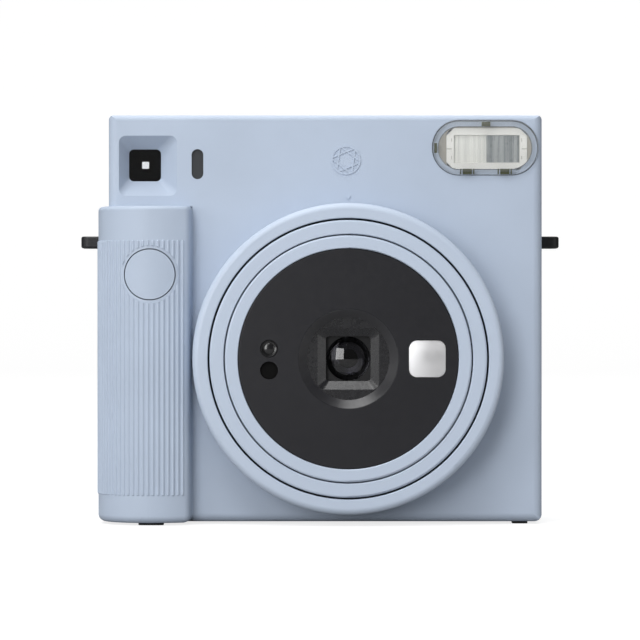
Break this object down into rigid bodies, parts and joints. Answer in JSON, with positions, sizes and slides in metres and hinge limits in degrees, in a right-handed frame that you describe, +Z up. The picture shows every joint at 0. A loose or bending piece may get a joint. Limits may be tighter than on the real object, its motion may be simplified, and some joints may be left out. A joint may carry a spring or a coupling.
{
  "type": "instant camera",
  "caption": "Square-format instant camera with a ribbed grip, a twist-to-open telescopic lens, a large flash window and a hinged film door.",
  "frame": {"origin": "on the ground under the middle of the camera's overall box", "axes": "-Y is the way the lens faces, +Z up, +X to the right when looking at the camera's front"},
  "size_m": [0.142, 0.0576, 0.1199],
  "materials": {
    "body_plastic": "fine-textured moulded plastic",
    "barrel_plastic": "satin moulded plastic",
    "black_plastic": "satin black moulded plastic",
    "panel_plastic": "glossy black",
    "frame_plastic": "black structural plastic",
    "white_plastic": "white reflector",
    "clear_plastic": "clear",
    "optical_glass": "coated glass",
    "mirror_silver": "mirror",
    "steel": "plain",
    "rubber": "matt",
    "foam": "foam",
    "gear_plastic": "natural acetal",
    "brass": "plain",
    "battery": "printed sleeve",
    "board": "solder mask",
    "capacitor": "shrink sleeve",
    "dial_ivory": "counter disc"
  },
  "bodies": {
    "camera_body": {"front_cover": "body_plastic", "rear_cover": "body_plastic", "grip_cover": "body_plastic", "base_feet": "rubber", "strap_lug_left": "black_plastic", "strap_lug_right": "black_plastic", "lens_guide_rails": "frame_plastic", "viewfinder_tunnel": "black_plastic", "viewfinder_front_lens": "clear_plastic", "viewfinder_eyepiece": "black_plastic", "sensor_window": "black_plastic", "flash_window": "clear_plastic", "flash_reflector": "white_plastic", "flash_tube": "optical_glass", "flash_capacitor": "capacitor", "main_circuit_board": "board", "main_frame": "frame_plastic", "case_screws": "steel", "roller_bushes": "gear_plastic", "film_motor": "steel", "reduction_axle": "steel", "exit_slot_trim": "black_plastic", "hinge_pins": "steel", "battery_box": "frame_plastic", "battery_cells": "battery", "battery_contacts": "brass", "shutter_switch": "frame_plastic", "shutter_button_spring": "steel"},
    "twist_dial": {"lens_dial": "body_plastic", "cam_sleeve": "black_plastic"},
    "outer_stage": {"outer_barrel": "barrel_plastic", "outer_barrel_pins": "steel"},
    "inner_stage": {"inner_barrel": "barrel_plastic", "inner_barrel_pins": "steel", "front_panel": "panel_plastic", "lens_hood": "black_plastic", "selfie_mirror": "mirror_silver", "light_sensors": "black_plastic", "front_lens": "optical_glass", "rear_lens": "optical_glass", "lens_cell": "frame_plastic", "shutter_plate": "frame_plastic", "shutter_solenoid": "brass"},
    "left_blade": {"shutter_blade_left": "steel"},
    "right_blade": {"shutter_blade_right": "steel"},
    "button": {"shutter_button": "body_plastic"},
    "battery_lid": {"battery_door": "body_plastic"},
    "back_door": {"film_door": "body_plastic", "door_windows": "clear_plastic", "door_light_seal": "foam", "film_pack_springs": "steel"},
    "latch": {"door_latch": "black_plastic"},
    "counter": {"counter_dial": "dial_ivory"},
    "drive_shaft": {"drive_roller": "rubber"},
    "pressure_shaft": {"pressure_roller": "rubber"},
    "reduction": {"reduction_gear": "gear_plastic"},
    "pinion": {"motor_pinion": "brass"},
    "claw": {"film_claw": "steel"},
    "flap": {"exit_flap": "black_plastic"}
  },
  "joints": [
    {"name": "dial_turn", "type": "hinge", "parent": "camera_body", "child": "twist_dial", "pos_m": [0.0082, -0.016, 0.0486], "axis": [0, -1, 0], "range_deg": [0, 50]},
    {"name": "outer_stage_slide", "type": "slide", "parent": "camera_body", "child": "outer_stage", "axis": [0, -1, 0], "range_m": [0, 0.009]},
    {"name": "inner_stage_slide", "type": "slide", "parent": "outer_stage", "child": "inner_stage", "axis": [0, -1, 0], "range_m": [0, 0.009]},
    {"name": "left_blade_swing", "type": "hinge", "parent": "inner_stage", "child": "left_blade", "pos_m": [-0.0008, -0.0143, 0.0456], "axis": [0, -1, 0], "range_deg": [0, 55]},
    {"name": "right_blade_swing", "type": "hinge", "parent": "inner_stage", "child": "right_blade", "pos_m": [0.0172, -0.0137, 0.0456], "axis": [0, -1, 0], "range_deg": [-55, 0]},
    {"name": "button_press", "type": "slide", "parent": "camera_body", "child": "button", "axis": [0, 1, 0], "range_m": [0, 0.0015], "stiffness_N_per_m": 300, "springref_m": -0.002, "deforming": ["shutter_button_spring"]},
    {"name": "battery_door_swing", "type": "hinge", "parent": "camera_body", "child": "battery_lid", "pos_m": [-0.0639, 0.0142, 0.04], "axis": [0, 0, -1], "range_deg": [0, 90]},
    {"name": "film_door_swing", "type": "hinge", "parent": "camera_body", "child": "back_door", "pos_m": [-0.0365, 0.0263, 0.0537], "axis": [0, 0, 1], "range_deg": [0, 100]},
    {"name": "latch_slide", "type": "slide", "parent": "back_door", "child": "latch", "axis": [0, 0, 1], "range_m": [0, 0.004], "stiffness_N_per_m": 150, "springref_m": -0.002},
    {"name": "counter_turn", "type": "hinge", "parent": "back_door", "child": "counter", "pos_m": [0.039, 0.0258, 0.016], "axis": [0, 1, 0], "range_deg": [0, 300]},
    {"name": "drive_roller_spin", "type": "hinge", "parent": "camera_body", "child": "drive_shaft", "pos_m": [0.008, 0.0027, 0.109], "axis": [1, 0, 0], "continuous": true},
    {"name": "pressure_roller_spin", "type": "hinge", "parent": "camera_body", "child": "pressure_shaft", "pos_m": [0.008, 0.0107, 0.109], "axis": [1, 0, 0], "continuous": true},
    {"name": "reduction_spin", "type": "hinge", "parent": "camera_body", "child": "reduction", "pos_m": [0.055, 0.00612, 0.0975], "axis": [1, 0, 0], "continuous": true},
    {"name": "pinion_spin", "type": "hinge", "parent": "camera_body", "child": "pinion", "pos_m": [0.052, -0.005, 0.093], "axis": [1, 0, 0], "continuous": true},
    {"name": "claw_slide", "type": "slide", "parent": "camera_body", "child": "claw", "axis": [0, 0, 1], "range_m": [0, 0.012]},
    {"name": "exit_flap_lift", "type": "hinge", "parent": "camera_body", "child": "flap", "pos_m": [0.008, 0.00575, 0.1165], "axis": [1, 0, 0], "range_deg": [0, 65]}
  ],
  "couplings": [
    {"joint": "outer_stage_slide", "follows": "dial_turn", "m_per_rad": 0.010313},
    {"joint": "inner_stage_slide", "follows": "dial_turn", "m_per_rad": 0.010313},
    {"joint": "right_blade_swing", "follows": "left_blade_swing", "ratio": -1},
    {"joint": "pressure_roller_spin", "follows": "drive_roller_spin", "ratio": -1},
    {"joint": "reduction_spin", "follows": "drive_roller_spin", "ratio": -1.2222},
    {"joint": "pinion_spin", "follows": "drive_roller_spin", "ratio": 3.6667}
  ]
}
